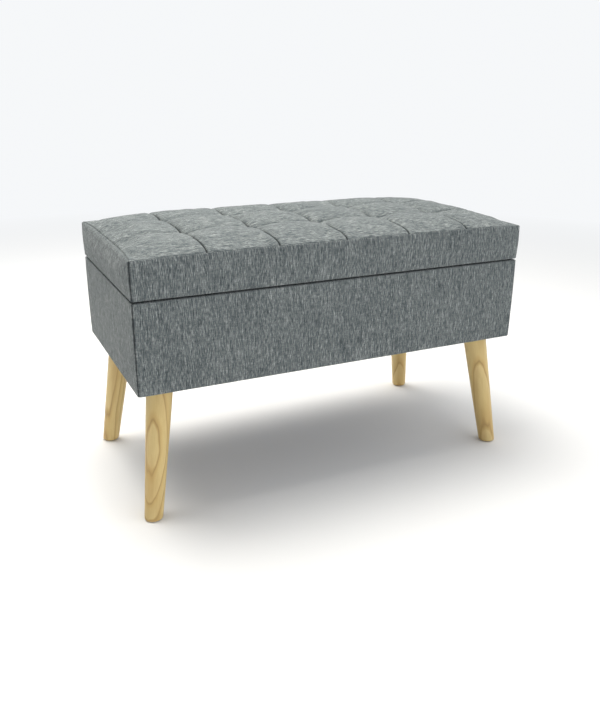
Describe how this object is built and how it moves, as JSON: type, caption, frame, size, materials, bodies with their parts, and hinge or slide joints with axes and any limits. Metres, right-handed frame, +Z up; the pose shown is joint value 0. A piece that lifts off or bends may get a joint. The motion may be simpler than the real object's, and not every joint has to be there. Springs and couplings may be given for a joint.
{
  "type": "storage bench",
  "caption": "Upholstered storage bench with a hinged, square-tufted lid over a fabric-covered box, on splayed tapered wooden legs.",
  "frame": {"origin": "on the floor, under the middle of the bench", "axes": "+X along the bench's length, -Y towards its front, +Z up"},
  "size_m": [0.8016, 0.4067, 0.506],
  "materials": {
    "outer_fabric": "matte",
    "leg_pine": "satin",
    "particleboard": "matte",
    "batten_pine": "matte",
    "lining": "matte",
    "wadding": "matte",
    "foam": "matte",
    "felt": "matte",
    "twine": "matte",
    "bumper_rubber": "satin",
    "black_plastic": "satin",
    "plated_steel": "satin",
    "hinge_steel": "satin",
    "screw_steel": "satin",
    "black_steel": "satin"
  },
  "bodies": {
    "base": {"front_panel": "particleboard", "back_panel": "particleboard", "left_panel": "particleboard", "right_panel": "particleboard", "bottom_panel": "particleboard", "bottom_cleats": "batten_pine", "panel_screws": "screw_steel", "box_wadding": "wadding", "box_cover": "outer_fabric", "wall_lining": "lining", "floor_lining": "lining", "dust_cover": "lining", "leg_front_left": "leg_pine", "leg_front_right": "leg_pine", "leg_back_left": "leg_pine", "leg_back_right": "leg_pine", "leg_plate_front_left": "plated_steel", "leg_plate_front_right": "plated_steel", "leg_plate_back_left": "plated_steel", "leg_plate_back_right": "plated_steel", "leg_plate_screws": "screw_steel", "hanger_bolts": "screw_steel", "foot_pads": "felt", "lid_bumpers": "bumper_rubber", "hinge_left_base_leaf": "hinge_steel", "hinge_right_base_leaf": "hinge_steel", "hinge_left_pin": "hinge_steel", "hinge_right_pin": "hinge_steel", "hinge_base_screws": "screw_steel", "stay_left_box_bracket": "black_steel", "stay_right_box_bracket": "black_steel", "stay_box_rivets": "screw_steel", "stay_box_screws": "screw_steel"},
    "lid": {"lid_board": "particleboard", "lid_foam": "foam", "lid_wadding": "wadding", "lid_cover": "outer_fabric", "lid_lining": "lining", "tuft_twines": "twine", "tuft_washers": "black_plastic", "hinge_left_lid_leaf": "hinge_steel", "hinge_right_lid_leaf": "hinge_steel", "hinge_lid_screws": "screw_steel", "stay_left_lid_bracket": "black_steel", "stay_right_lid_bracket": "black_steel", "stay_lid_rivets": "screw_steel", "stay_lid_screws": "screw_steel"},
    "stay_lower_left": {"stay_left_lower_arm": "black_steel", "stay_left_elbow_rivet": "screw_steel"},
    "stay_lower_right": {"stay_right_lower_arm": "black_steel", "stay_right_elbow_rivet": "screw_steel"},
    "stay_upper_left": {"stay_left_upper_arm": "black_steel"},
    "stay_upper_right": {"stay_right_upper_arm": "black_steel"}
  },
  "joints": [
    {"name": "lid_hinge", "type": "hinge", "parent": "base", "child": "lid", "pos_m": [0, 0.2035, 0.4165], "axis": [-1, 0, 0], "range_deg": [0, 105]},
    {"name": "stay_left_lower_pivot", "type": "hinge", "parent": "base", "child": "stay_lower_left", "pos_m": [-0.3756, 0.1535, 0.3045], "axis": [-1, 0, 0], "range_deg": [0, 105]},
    {"name": "stay_left_upper_pivot", "type": "hinge", "parent": "lid", "child": "stay_upper_left", "pos_m": [-0.373, 0.0735, 0.4025], "axis": [-1, 0, 0], "range_deg": [-105, 0]},
    {"name": "stay_right_lower_pivot", "type": "hinge", "parent": "base", "child": "stay_lower_right", "pos_m": [0.3756, 0.1535, 0.3045], "axis": [-1, 0, 0], "range_deg": [0, 105]},
    {"name": "stay_right_upper_pivot", "type": "hinge", "parent": "lid", "child": "stay_upper_right", "pos_m": [0.373, 0.0735, 0.4025], "axis": [-1, 0, 0], "range_deg": [-105, 0]}
  ],
  "couplings": [
    {"joint": "stay_left_lower_pivot", "follows": "lid_hinge", "ratio": 1},
    {"joint": "stay_left_upper_pivot", "follows": "lid_hinge", "ratio": -1},
    {"joint": "stay_right_lower_pivot", "follows": "lid_hinge", "ratio": 1},
    {"joint": "stay_right_upper_pivot", "follows": "lid_hinge", "ratio": -1}
  ]
}
